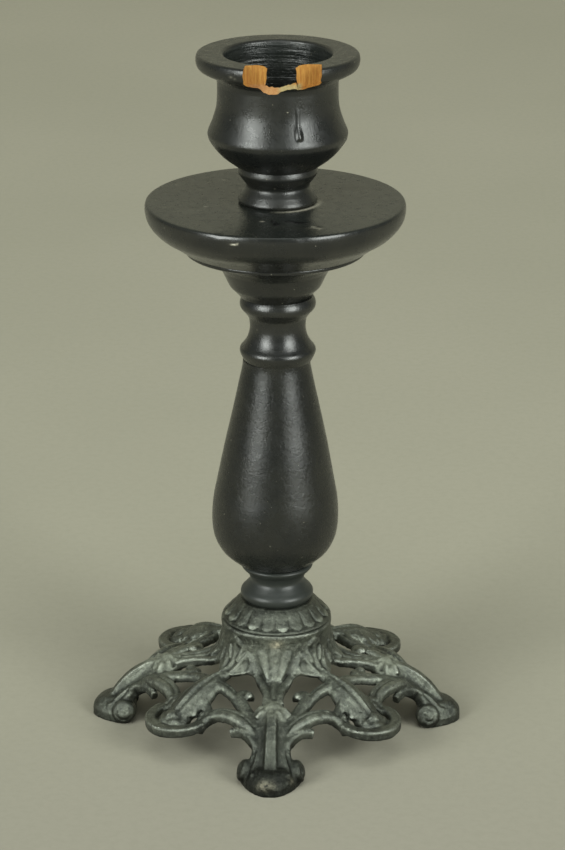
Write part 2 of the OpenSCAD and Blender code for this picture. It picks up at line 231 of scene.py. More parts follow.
def black_paint(name, rough=(0.26, 0.42), peel=0.5, crackle=0.0, rings=0.0, film=0.0,
                film_from=None, gloss=0.6):
    """Old satin-gloss black paint on turned wood, with a film of dust, pale wear, painted shade in
    dents and a painted glint.
    """
    mat, tree, shader = new_material(name, Specular_IOR_Level=gloss)
    vec = placed(tree)
    level = node(tree, "SeparateXYZ", {"Vector": vec}).outputs["Z"]
    patch = fuzz(tree, vec, 0.09, 4)
    grain = fuzz(tree, placed(tree, 1, 1, 0.16), 1.3, 3)
    colour = mix(tree, ramp(tree, patch, 0.35, 0.7), rgb(0.0082, 0.0092, 0.0086),
                 rgb(0.0140, 0.0145, 0.0120))
    colour = mix(tree, ramp(tree, grain, 0.62, 0.8, 0, 0.35), colour, rgb(0.028, 0.027, 0.022))
    if film:
        lying = film if film_from is None else ramp(tree, level, film_from, film_from + 0.5,
                                                    0.0, film)
        colour = mix(tree, lying, colour, rgb(0.066, 0.080, 0.072))
    if film_from is not None:
        tree.links.new(ramp(tree, level, film_from, film_from + 0.5, gloss, 0.62 * gloss),
                       shader.inputs["Specular IOR Level"])
    # Painted shade: below zero the wear mask marks the dents, and the paint there is darkened to
    # near black.
    dent_shade = ramp(tree, maths(tree, "MULTIPLY", mask(tree, "wear_and_painted_light"), -1.0), 0.15, 0.8)
    colour = mix(tree, dent_shade, colour, rgb(0.004, 0.004, 0.004))
    speck = fuzz(tree, vec, 1.15, 1.5, 0.5)
    dust = ramp(tree, speck, 0.775, 0.80)
    colour = mix(tree, dust, colour, rgb(0.30, 0.28, 0.22))
    wear_and_glint = mask(tree, "wear_and_painted_light")
    chalk = fuzz(tree, vec, 1.6, 4, 0.7)
    chalked = maths(tree, "MULTIPLY", maths(tree, "MAXIMUM", wear_and_glint, 0.0), ramp(tree, chalk, 0.3, 0.6))
    chalked = maths(tree, "MAXIMUM", chalked, ramp(tree, wear_and_glint, 0.7, 1.1, 0.0, 0.8))
    colour = mix(tree, chalked, colour, rgb(0.36, 0.34, 0.27))
    # Near white where the wear mask passes 1: the strongest part of the dust arc, and a painted
    # glint on the pan's front edge.
    colour = mix(tree, ramp(tree, wear_and_glint, 1.0, 1.3), colour, rgb(0.62, 0.60, 0.52))
    tree.links.new(colour, shader.inputs["Base Color"])
    rough_map = ramp(tree, fuzz(tree, vec, 0.35, 5, 0.65), 0.3, 0.72, rough[0], rough[1])
    rough_map = maths(tree, "ADD", rough_map, maths(tree, "MULTIPLY", chalked, 0.3))
    tree.links.new(rough_map, shader.inputs["Roughness"])
    fine = bump(tree, fuzz(tree, vec, 0.85, 3, 0.6), 0.6 * peel, 0.09)
    fine = bump(tree, fuzz(tree, vec, 2.6, 2, 0.6), peel, 0.075, fine)
    fine = bump(tree, grain, 0.35, 0.05, fine)
    if crackle:
        cell = node(tree, "TexVoronoi", {"Vector": placed(tree, 1, 1, 0.75), "Scale": 0.62,
                                         "Randomness": 1.0},
                    feature="DISTANCE_TO_EDGE").outputs["Distance"]
        where = ramp(tree, fuzz(tree, vec, 0.13, 3), 0.38, 0.6)
        line_map = ramp(tree, cell, 0.0, 0.16)
        fine = bump(tree, maths(tree, "MULTIPLY", line_map, where), crackle, 0.12, fine)
    if rings:
        ridge = fuzz(tree, placed(tree, 0.05, 0.05, 1.0), 1.6, 4, 0.6)
        fine = bump(tree, ridge, rings, 0.25, fine)
    tree.links.new(fine, shader.inputs["Normal"])
    return mat


def bare_wood(name):
    """Fresh split wood: vertical grain, orange inside, paler on the sloping lip."""
    mat, tree, shader = new_material(name)
    long = placed(tree, 1.0, 1.0, 0.09)
    grain = fuzz(tree, long, 1.9, 4, 0.6)
    fibre = fuzz(tree, long, 6.0, 2, 0.5)
    colour = mix(tree, ramp(tree, grain, 0.35, 0.68), rgb(0.45, 0.225, 0.048),
                 rgb(0.31, 0.125, 0.022))
    colour = mix(tree, ramp(tree, fibre, 0.60, 0.74, 0, 0.55), colour, rgb(0.20, 0.068, 0.013))
    split = node(tree, "SeparateXYZ", {"Vector": placed(tree)}).outputs["Z"]
    low = ramp(tree, maths(tree, "ADD", split, maths(tree, "MULTIPLY", grain, 1.2)),
               208.2, 209.4, 1.0, 0.0)
    pale = mix(tree, ramp(tree, fibre, 0.4, 0.65), rgb(0.44, 0.39, 0.20), rgb(0.36, 0.25, 0.10))
    pink = mix(tree, ramp(tree, fibre, 0.4, 0.65), rgb(0.43, 0.235, 0.092), rgb(0.33, 0.15, 0.05))
    across = node(tree, "SeparateXYZ", {"Vector": placed(tree)}).outputs["X"]
    lip = mix(tree, ramp(tree, across, 0.6, 2.4), pink, pale)
    lip = mix(tree, ramp(tree, across, 6.8, 8.6), lip, colour)
    colour = mix(tree, low, colour, lip)
    tree.links.new(colour, shader.inputs["Base Color"])
    shader.inputs["Roughness"].default_value = 0.72
    shader.inputs["Specular IOR Level"].default_value = 0.3
    tree.links.new(bump(tree, fibre, 0.6, 0.12, bump(tree, grain, 0.6, 0.3)),
                   shader.inputs["Normal"])
    return mat


def worn_iron(name):
    """Blackened casting: painted shade in the grooves, hollows and steep faces, rubbed on the
    ridges, dusty in patches, with some painted light in its tone.
    """
    mat, tree, shader = new_material(name)
    vec = placed(tree)
    height, hollow = mask(tree, "height"), mask(tree, "hollow")
    blotch = fuzz(tree, vec, 0.13, 5, 0.65)
    spot = fuzz(tree, vec, 0.75, 6, 0.75)
    grain = fuzz(tree, vec, 2.1, 3, 0.6)
    colour = mix(tree, ramp(tree, blotch, 0.35, 0.66), rgb(0.060, 0.065, 0.057),
                 rgb(0.120, 0.129, 0.107))
    colour = mix(tree, ramp(tree, spot, 0.50, 0.66, 0, 0.75), colour, rgb(0.230, 0.247, 0.205))
    colour = mix(tree, ramp(tree, spot, 0.34, 0.46, 0.7, 0), colour, rgb(0.028, 0.031, 0.028))
    rubbed = maths(tree, "MULTIPLY", ramp(tree, height, 0.06, 0.30),
                   ramp(tree, fuzz(tree, vec, 0.35, 5, 0.75), 0.40, 0.56))
    colour = mix(tree, maths(tree, "MULTIPLY", rubbed, 0.65), colour, rgb(0.36, 0.38, 0.33))
    dust = maths(tree, "MULTIPLY", mask(tree, "dust"), ramp(tree, spot, 0.3, 0.6, 0.35, 1.0))
    colour = mix(tree, dust, colour, rgb(0.110, 0.118, 0.088))
    # Painted shade: grooves (height below zero), broad hollows and steep or downward faces are
    # darkened to near black.
    groove = ramp(tree, height, -0.30, 0.02, 1.0, 0.0)
    deep = maths(tree, "MAXIMUM", maths(tree, "MULTIPLY", groove, 0.85),
                 ramp(tree, hollow, 0.05, 0.85, 0.0, 0.88))
    colour = mix(tree, deep, colour, rgb(0.012, 0.013, 0.011))
    pale = mask(tree, "pale")
    pale = maths(tree, "MULTIPLY", pale, ramp(tree, spot, 0.35, 0.6))
    # Colour scaled by the tone mask, which also carries painted highlights and painted shade set in
    # boss_cap and cast_base.
    toned = node(tree, "VectorMath", {0: colour, "Scale": mask(tree, "tone")},
                 operation="SCALE").outputs[0]
    colour = mix(tree, pale, toned, rgb(0.46, 0.42, 0.30))
    tree.links.new(colour, shader.inputs["Base Color"])
    rough = ramp(tree, spot, 0.3, 0.7, 0.27, 0.43)
    rough = maths(tree, "SUBTRACT", rough, maths(tree, "MULTIPLY", rubbed, 0.06))
    rough = maths(tree, "ADD", rough, maths(tree, "MULTIPLY", dust, 0.30))
    rough = maths(tree, "ADD", rough, maths(tree, "MULTIPLY", deep, 0.20))
    tree.links.new(rough, shader.inputs["Roughness"])
    matt = maths(tree, "MAXIMUM", dust, pale)
    tree.links.new(ramp(tree, matt, 0.0, 1.0, 0.85, 0.0), shader.inputs["Metallic"])
    grit = bump(tree, spot, 0.85, 0.38)
    grit = bump(tree, grain, 0.6, 0.10, grit)
    tree.links.new(grit, shader.inputs["Normal"])
    return mat


def dull_steel(name):
    mat, tree, shader = new_material(name, Metallic=1.0)
    vec = placed(tree)
    rust = ramp(tree, fuzz(tree, vec, 0.5, 5, 0.7), 0.45, 0.65)
    tree.links.new(mix(tree, rust, rgb(0.30, 0.29, 0.27), rgb(0.12, 0.065, 0.035)),
                   shader.inputs["Base Color"])
    tree.links.new(ramp(tree, rust, 0, 1, 0.36, 0.75), shader.inputs["Roughness"])
    tree.links.new(bump(tree, fuzz(tree, vec, 2.2, 4, 0.6), 0.4, 0.06), shader.inputs["Normal"])
    return mat


def backdrop_paper(name):
    mat, tree, shader = new_material(name)
    vec = placed(tree)
    tone = fuzz(tree, vec, 0.004, 3, 0.5)
    fleck = fuzz(tree, vec, 0.35, 4, 0.7)
    colour = mix(tree, ramp(tree, tone, 0.3, 0.7), rgb(0.366, 0.350, 0.278),
                 rgb(0.390, 0.371, 0.297))
    colour = mix(tree, ramp(tree, fleck, 0.35, 0.75, 0, 0.25), colour, rgb(0.30, 0.298, 0.23))
    back = node(tree, "SeparateXYZ", {"Vector": vec}).outputs["Y"]
    near = mix(tree, ramp(tree, back, -130, 130), rgb(0.89, 0.885, 0.905), rgb(1.06, 1.06, 1.06))
    far = mix(tree, ramp(tree, back, 200, 1100), near, rgb(1.17, 1.17, 1.17))
    tone = node(tree, "Mix", {"Factor": 1.0}, data_type="RGBA", blend_type="MULTIPLY")
    tree.links.new(colour, tone.inputs[6])
    tree.links.new(far, tone.inputs[7])
    tree.links.new(tone.outputs[2], shader.inputs["Base Color"])
    shader.inputs["Roughness"].default_value = 0.9
    shader.inputs["Specular IOR Level"].default_value = 0.1
    return mat


paint_cup = black_paint("paint_cup", rough=(0.25, 0.36), peel=0.85, gloss=0.68)
paint_socket = black_paint("paint_socket", rough=(0.20, 0.34), peel=0.5, rings=1.3, film=0.12)
paint_pan = black_paint("paint_pan", rough=(0.19, 0.30), peel=0.14, film=0.08, film_from=168.2,
                        gloss=0.72)
paint_stem = black_paint("paint_stem", rough=(0.23, 0.32), peel=0.60, gloss=0.80)
paint_bulb = black_paint("paint_bulb", rough=(0.22, 0.33), peel=1.0, crackle=0.20, gloss=0.55)
paint_ring = black_paint("paint_ring", rough=(0.36, 0.46), peel=0.40, film=0.25, gloss=0.55)
split_wood = bare_wood("split_wood")
iron = worn_iron("worn_iron")
steel = dull_steel("dull_steel")


# Turned wood

CUP_SHIFT, PAN_SHIFT, SPOOL_SHIFT, RING_SHIFT = 0.45, -0.3, 0.45, 0.2
BORE = 3.6


def foot_of(name):
    """Height in mm at which a CAD node begins."""
    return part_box(name)[0].z / MM


def turned(name, outline, height, segs, mat, shift, amount=0.04, extra=None, rows=3.0):
    """A turned piece with its bore, set on its node's height, a little out of true."""
    z0 = foot_of(name.replace("_turned", ""))
    prof = np.vstack([line([BORE, 0], outline[0], rows)[:-1], outline,
                      line(outline[-1], [BORE, height], rows)[1:],
                      line([BORE, height], [BORE, 0], 8)[1:-1]])
    prof = prof + np.array([0, z0])

    def bend(v):
        out = np.hypot(v[:, 0], v[:, 1])
        if extra is not None:
            v = extra(v)
        push = 1 + amount * wave(v, 0.09, len(name)) / np.maximum(out, 4)
        push = np.where(out > BORE + 0.5, push, 1)
        v = v * np.stack([push, push, np.ones(len(v))], 1)
        v[:, 0] += shift(v[:, 2]) if callable(shift) else shift
        return v

    obj = lathe(name, prof, segs, [mat], bend)
    set_mask(obj, "wear_and_painted_light", np.zeros(len(obj.data.vertices)))
    return obj


def finish_piece(obj, slot, *replaced):
    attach(obj, ROOT)
    if replaced:
        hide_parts(*replaced)
    return obj


def grid_box(fn, nu, nv, nw):
    """Surface of a unit cube mapped by fn(u, v, w), as vertices and faces."""
    index, verts, faces = {}, [], []

    def at(i, j, k):
        if (i, j, k) not in index:
            index[(i, j, k)] = len(verts)
            verts.append(fn(i / nu, j / nv, k / nw))
        return index[(i, j, k)]

    for i in range(nu):
        for j in range(nv):
            faces.append((at(i, j, 0), at(i, j + 1, 0), at(i + 1, j + 1, 0), at(i + 1, j, 0)))
            faces.append((at(i, j, nw), at(i + 1, j, nw), at(i + 1, j + 1, nw),
                          at(i, j + 1, nw)))
    for i in range(nu):
        for k in range(nw):
            faces.append((at(i, 0, k), at(i + 1, 0, k), at(i + 1, 0, k + 1), at(i, 0, k + 1)))
            faces.append((at(i, nv, k), at(i, nv, k + 1), at(i + 1, nv, k + 1),
                          at(i + 1, nv, k)))
    for j in range(nv):
        for k in range(nw):
            faces.append((at(0, j, k), at(0, j, k + 1), at(0, j + 1, k + 1), at(0, j + 1, k)))
            faces.append((at(nu, j, k), at(nu, j + 1, k), at(nu, j + 1, k + 1),
                          at(nu, j, k + 1)))
    return verts, faces


def candle_cup():
    z0 = foot_of("candle_cup")
    foot = smooth_curve([[11.3, 0], [11.8, 1], [10.8, 2.9], [9.4, 5.2], [10.8, 7.4],
                         [11.9, 9.2], [11.6, 11]], 10)
    belly = smooth_curve([[12.4, 11.3], [15.9, 13.9], [18.25, 16.2], [20.2, 18.9],
                          [20.75, 20.4], [20.8, 21.3], [20.45, 22.4], [19.45, 24.8],
                          [18.3, 28.6], [17.95, 32], [17.9, 36]], 10)
    rim = smooth_curve([[18.1, 37.6], [19.4, 39], [21.4, 39.7], [23.5, 41], [24.2, 42.8],
                        [24, 44.5], [23.3, 45.05], [22.4, 45.1]], 8)
    mouth = smooth_curve([[17.3, 45.1], [16.8, 45.05], [16.15, 44.7], [15.9, 44.1]], 6)
    wall = line([15.9, 43.9], [15.9, 19.2], 0.3)
    prof = np.vstack([line([BORE, 0], foot[0], 2)[:-1], foot, belly, rim,
                      line([22.4, 45.1], [17.3, 45.1], 0.6)[1:-1], mouth, wall,
                      line([15.8, 19.1], [6.7, 19.1], 1.5), [[6.7, 15.7], [BORE, 15.7]]])
    prof = prof + np.array([0, z0])

    def bend(v):
        r = np.hypot(v[:, 0], v[:, 1])
        ang = np.arctan2(v[:, 0], -v[:, 1])
        z = v[:, 2] - z0
        push = 0.045 * wave(v, 0.09, 3)
        inner = (r > 15) & (r < 16.05) & (z > 19.3) & (z < 44.2)
        ridge = np.array([noise.noise(Vector((0.35 * math.cos(a), 0.35 * math.sin(a), q * 0.62)))
                          for a, q in zip(ang, z)])
        calm = 1 - 0.75 * np.exp(-(ang / 0.5) ** 4)
        push = np.where(inner, -0.16 * (ridge + 0.5) * calm, push)
        outer = (r > 16.3) & (z > 12) & (z < 37)
        across = (ang - math.radians(20.5)) * r
        wander = 0.10 * np.sin(z * 0.9)
        thread = np.exp(-((across - wander) / 0.50) ** 4) * np.clip((z - 23.2) / 1.2, 0, 1) \
            * np.clip((33.2 - z) / 2.4, 0, 1)
        drop = np.exp(-(across / 0.95) ** 4 - (np.where(z > 24.2, (z - 24.2) / 2.1,
                                                        (z - 24.2) / 0.90)) ** 2)
        push = push + np.where(outer, 0.16 * thread + 0.60 * drop, 0)
        gain = 1 + np.where(r > BORE + 0.5, push, 0) / np.maximum(r, 4)
        v = v * np.stack([gain, gain, np.ones(len(v))], 1)
        v[:, 0] += CUP_SHIFT
        v[:, 2] = np.minimum(v[:, 2], z0 + 45.095)
        return v

    cup = lathe("candle_cup_turned", prof, 448, [paint_cup, paint_socket, split_wood], bend)

    def broken(u, v, w):
        """The block of wood that is missing: its near-vertical face lies at v = 0."""
        x = -9.0 + 22.1 * u + (v * (-0.5 + 0.9 * u))
        x += 0.35 * noise.noise(Vector((9.1, 3.0 * round(u), w * 4.0))) * (abs(2 * u - 1) > 0.99)
        face = -15.3 + 0.105 * x
        out = min(v * 3.2, 1.0)
        r_here = 15.9 + 2.1 * out
        lip_in = np.interp(x, [1.5, 3.2, 5.2], [207.8, 208.1, 208.6]) \
            + 0.45 * noise.noise(Vector((x * 1.3, 3.1, 0)))
        lip_out = np.interp(x, [-9.5, -5.0, -4.3, -3.7, -2.6, -1.0, 0.6, 1.5, 3.6, 7.8, 10.1,
                                12.3, 13.3],
                            [208.0, 207.9, 206.9, 205.0, 204.4, 204.3, 204.8, 206.2, 207.2,
                             207.2, 207.7, 208.3, 208.6])
        lip_out = lip_out + 0.22 * noise.noise(Vector((x * 0.9, 7.7, 0)))
        if x < -4.9 or x > 6.0:
            lip_in = lip_out
        rounding = max(0.0, 1 - u / 0.10) ** 2 * 1.7 + max(0.0, (u - 0.93) / 0.07) ** 2 * 1.1
        lip_in, lip_out = lip_in + rounding, lip_out + rounding
        bottom = lip_in + (lip_out - lip_in) * out
        z = bottom + (217.0 - bottom) * w
        splinter = 0.30 * noise.noise(Vector((x * 0.95, z * 0.10, 1.7))) \
            + 0.12 * noise.noise(Vector((x * 2.6, z * 0.16, 4.2)))
        splinter *= 1 - math.exp(-((x - 1.6) / 5.2) ** 4)
        y = (face + splinter * (1 - min(v * 4, 1))) * (1 - v) + -29.0 * v
        y = y + 0.55 * (max(0.0, 0.13 - u) + max(0.0, u - 0.9)) * -8 * (1 - v)
        bulge = math.sin(math.pi * min(max(w, 0), 1)) * 0.15
        return (x + CUP_SHIFT, y - bulge * (1 - v), z)

    verts, faces = grid_box(broken, 64, 14, 26)
    cutter = make_object("chip_cutter", verts, [f[::-1] for f in faces], [split_wood], 0)
    cut = cup.modifiers.new("chip", "BOOLEAN")
    cut.operation, cut.solver, cut.object = "DIFFERENCE", "EXACT", cutter
    cut.material_mode = "TRANSFER"
    apply_modifiers(cup)
    bpy.data.objects.remove(cutter)
    shade(cup, 42)
    mesh = cup.data
    names = [m.name if m else "" for m in mesh.materials]
    wood_slot, inner_slot = names.index("split_wood"), names.index("paint_socket")
    co = points_mm(cup)
    for poly in mesh.polygons:
        if poly.material_index == wood_slot:
            continue
        c = co[list(poly.vertices)].mean(0)
        r = math.hypot(c[0] - CUP_SHIFT, c[1])
        if r < 16.3 and z0 + 19.2 < c[2] < z0 + 44.4:
            poly.material_index = inner_slot
    wear_and_painted_light = 0.9 * bump_at(co, (-12.6, -20.9, 211.4), (0.5, 0.6, 0.35))
    wear_and_painted_light += 0.5 * bump_at(co, (-11.3, -21.4, 211.0), (0.35, 0.6, 0.3))
    set_mask(cup, "wear_and_painted_light", wear_and_painted_light)
    return finish_piece(cup, "painted_wood", "candle_cup")


def drip_pan():
    collar = smooth_curve([[10.7, 0], [11.4, 0.9], [12.9, 2.5], [13.9, 3.6], [15.2, 6.3],
                           [16.3, 8.6]], 8)
    cove = smooth_curve([[17.2, 9.6], [18.5, 11], [20.7, 12.2], [26.9, 14.3]], 8)
    step = np.array([[27.25, 14.55], [27.3, 14.75], [27.3, 15.5], [27.2, 15.65]])
    ovolo = smooth_curve([[28.1, 15.7], [32.1, 18.5], [35.2, 20.5], [37.2, 22.5],
                          [38.5, 24.6], [39, 26.8], [39, 28.2], [38.75, 29.1], [38.3, 29.36],
                          [37.6, 29.4]], 8)
    outline = np.vstack([collar, cove, step, ovolo])
    z0 = foot_of("drip_pan")
    top = z0 + 29.4

    def dents(v):
        high = v[:, 2] > top - 1.4
        sink = np.zeros(len(v))
        for x, y, rx, ry, deep in ((-0.2, -21.4, 0.9, 1.6, 0.30), (0.9, -24.6, 1.2, 1.8, 0.35),
                                   (4.4, -21.0, 1.8, 1.0, 0.28), (7.6, -22.4, 2.0, 1.1, 0.26),
                                   (11.8, -27.4, 2.0, 0.8, 0.22),
                                   (-24, -10, 4, 3, 0.10), (22, 12, 5, 3, 0.08)):
            sink += deep * bump_at(v, (x, y, top), (rx, ry, 3))
        nick = 0.25 * bump_at(v, (8.5, -37.9, top - 0.6), (2.4, 1.2, 0.8)) \
            + 0.2 * bump_at(v, (-15, -35.8, top - 0.6), (1.6, 1.2, 0.8))
        v = v.copy()
        v[:, 2] -= np.where(high, sink + nick, 0)
        return v

    pan = turned("drip_pan_turned", outline, 29.4, 512, paint_pan, PAN_SHIFT, 0.05, dents, 0.55)
    co = points_mm(pan)
    seam_r = np.abs(np.hypot(co[:, 0] - CUP_SHIFT, co[:, 1]) - 12.5)
    seam_a = np.arctan2(co[:, 0], -co[:, 1])
    wear_and_painted_light = 1.2 * np.exp(-(seam_r / 0.80) ** 2) * np.clip((seam_a + 0.15) / 0.5, 0, 1) \
        * np.clip((1.75 - seam_a) / 0.4, 0, 1) * (co[:, 2] > top - 1)
    # Painted shade: the dents take negative values, which darken the paint in them.
    for x, y, rx, ry in ((-0.2, -21.4, 0.9, 1.6), (0.9, -24.6, 1.2, 1.8),
                         (4.4, -21.2, 2.0, 0.9), (7.6, -22.6, 2.2, 1.0)):
        wear_and_painted_light -= 1.1 * bump_at(co, (x, y, top), (rx, ry, 1))
    for x, y, s in ((-3.4, -22.0, 0.45), (-16.9, 22.1, 0.4), (-20.7, -7.0, 0.35),
                    (11.6, -26.6, 0.5), (12.6, -27.8, 0.5), (13.6, -28.8, 0.4)):
        wear_and_painted_light += 1.0 * bump_at(co, (x, y, top), (s * 1.4, s, 1))
    # Painted glint: a small near-white crescent on the pan's front edge.
    wear_and_painted_light += 2.2 * bump_at(co, (-10.9, -37.0, top - 2.4), (0.8, 1.2, 0.24))
    wear_and_painted_light += 1.2 * bump_at(co, (-9.9, -37.3, top - 2.1), (0.3, 1.2, 0.3))
    set_mask_values(pan, "wear_and_painted_light", np.clip(wear_and_painted_light, -1, 1.5))
    return finish_piece(pan, "painted_wood", "drip_pan")


def set_mask_values(obj, name, values):
    obj.data.attributes[name].data.foreach_set("value", np.asarray(values, np.float32))


def neck_spool():
    outline = smooth_curve([[10.3, 0], [11.1, 1.6], [11.5, 2.7], [11.5, 3.4], [11.2, 4.1],
                            [10.2, 5.3], [9.15, 7.2], [8.6, 9.2], [8.45, 10.9], [8.8, 13.5],
                            [9.95, 15.2], [11.2, 16.7], [11.5, 18.0], [11.2, 19.3],
                            [10.6, 20.3]], 8)
    return finish_piece(turned("neck_spool_turned", outline, 20.3, 256, paint_stem,
                               SPOOL_SHIFT), "painted_wood", "neck_spool")


def baluster():
    outline = smooth_curve([[9.9, 0], [12, 0.9], [15.05, 3.4], [16.85, 5.4], [18.4, 8.4],
                            [19.2, 11.4], [19.5, 15.6], [19.13, 21.4], [18.1, 27.4],
                            [15.8, 39.4], [13.15, 51.4], [10.65, 63.4], [10.25, 66.6]], 12)
    z0 = foot_of("baluster")

    def lean(z):
        return 0.1 - 0.5 * np.clip((z0 + 50 - z) / 40, 0, 1)

    return finish_piece(turned("baluster_turned", outline, 66.6, 320, paint_bulb, lean, 0.07),
                        "painted_wood", "baluster")


def foot_ring():
    outline = smooth_curve([[9.9, 0], [10.9, 0.9], [11.3, 2.1], [11, 3.2], [9.8, 4.5],
                            [8.6, 6.1], [8.45, 7.3], [9.2, 9], [10.3, 10.1], [11, 11],
                            [11, 11.6], [10.5, 12.1]], 8)
    return finish_piece(turned("foot_ring_turned", outline, 12.1, 256, paint_ring,
                               RING_SHIFT), "painted_wood", "foot_ring")


# Cast iron

def boss_cap():
    z0 = foot_of("boss_cap")
    outside = smooth_curve([[16.7, 0.02], [16.95, 0.35], [16.7, 0.75], [16.2, 1.2],
                            [15.5, 1.9], [14.7, 2.8], [13.9, 3.7], [13.1, 4.6], [12.2, 5.4],
                            [11.2, 6.05]], 12)
    prof = np.vstack([outside, line([11.2, 6.1], [BORE, 6.1], 1.5), [[BORE, 3.05], [8.1, 3.05],
                      [12.9, 1.95], [12.9, 0]], line([12.9, 0], [16.6, 0], 1.5)[1:]])
    prof = prof + np.array([0, z0])
    depth = np.zeros(0)
    tip_highlight = np.zeros(0)

    def bend(v):
        nonlocal depth, tip_highlight
        z = v[:, 2] - z0
        r = np.hypot(v[:, 0], v[:, 1])
        u = np.mod(np.degrees(np.arctan2(v[:, 1], v[:, 0])) / 18, 1) * 2 - 1
        rise = np.clip((z - 1.0) / 4.6, 0, 1)
        wide = 0.92 * np.sqrt(np.clip(1 - (1 - np.clip(rise / 0.25, 0, 1)) ** 2, 0.0, 1))
        lobe = (1 - np.abs(np.clip(u / np.maximum(wide, 0.02), -1, 1)) ** 3.2) ** 0.8
        fade = np.clip((z - 0.9) / 0.4, 0, 1) * np.clip((6.3 - z) / 3.4, 0, 1)
        on = (r > 11) & (z > 0.8) & (z < 6.08)
        swell = 0.26 * np.exp(-((rise - 0.20) / 0.16) ** 2)
        depth = np.where(on, fade * (0.52 * (lobe - 1) + swell * lobe), 0)
        # Painted highlight: the lower bulge of each gadroon is made lighter through the tone mask,
        # more on some lobes than others.
        turn = np.round(np.degrees(np.arctan2(v[:, 1], v[:, 0])) / 18 - 0.5)
        uneven = 0.5 + 0.5 * np.sin(2.4 * turn + 1.7 * np.sin(turn))
        tip_highlight = np.where(on, lobe ** 2 * uneven * np.exp(-((rise - 0.14) / 0.13) ** 2), 0)
        gain = 1 + depth / np.maximum(r, 4)
        v = v * np.stack([gain, gain, np.ones(len(v))], 1)
        v[:, 0] += 0.1
        return v

    cap = lathe("boss_cap_cast", prof, 576, [iron], bend, 50)
    # Painted shade: the grooves between the gadroons are darkened through the height and hollow
    # masks.
    set_mask(cap, "height", np.clip(depth * 0.38 + 0.06, -0.6, 0.2))
    set_mask(cap, "hollow", np.clip(-depth * 0.8 - 0.22, 0, 1))
    set_mask(cap, "dust", np.full(len(depth), 0.20))
    set_mask(cap, "pale", np.zeros(len(depth)))
    set_mask(cap, "tone", 0.96 + 1.9 * tip_highlight)
    return finish_piece(cap, "iron", "boss_cap")


U = np.linspace(-1, 1, 25)


def section(kind, w, e, t):
    """Cross-section of a cast strand: (across, up) points, closed."""
    a = np.abs(U)
    edge = min(0.8, 0.45 * w)
    top = -e * a ** 2 - edge * (1 - np.sqrt(np.clip(1 - a ** 4, 0, 1)))
    if kind == "double":
        top = top - min(0.85, 0.42 * w) * np.exp(-((U + 0.12) / 0.2) ** 2)
    elif kind == "leaf":
        top = top + 0.5 * np.exp(-(U / 0.14) ** 2) \
            + 0.26 * np.cos(U * 15.0) * np.clip(1.1 - a, 0, 1)
    elif kind == "flat":
        top = -e * a ** 4 - 0.45 * np.clip((a - 0.72) / 0.28, 0, 1) ** 1.5 \
            - 0.22 * np.exp(-((U - 0.3) / 0.16) ** 2)
    pts = [(u * w, h) for u, h in zip(U, top)]
    low = top[-1]
    pts += [(1.0 * w, low - 0.35 * t), (0.97 * w, low - 0.75 * t), (0.8 * w, -e - t),
            (-0.8 * w, -e - t), (-0.97 * w, low - 0.75 * t), (-1.0 * w, low - 0.35 * t)]
    return np.array(pts)


def outward(p):
    """Direction that the shell faces: level on the skirt, upward further out."""
    r = math.hypot(p[0], p[1])
    a = math.radians(80) * min(max((23 - r) / 5, 0), 1)
    return np.array([p[0] / r * math.sin(a), p[1] / r * math.sin(a), math.cos(a)])


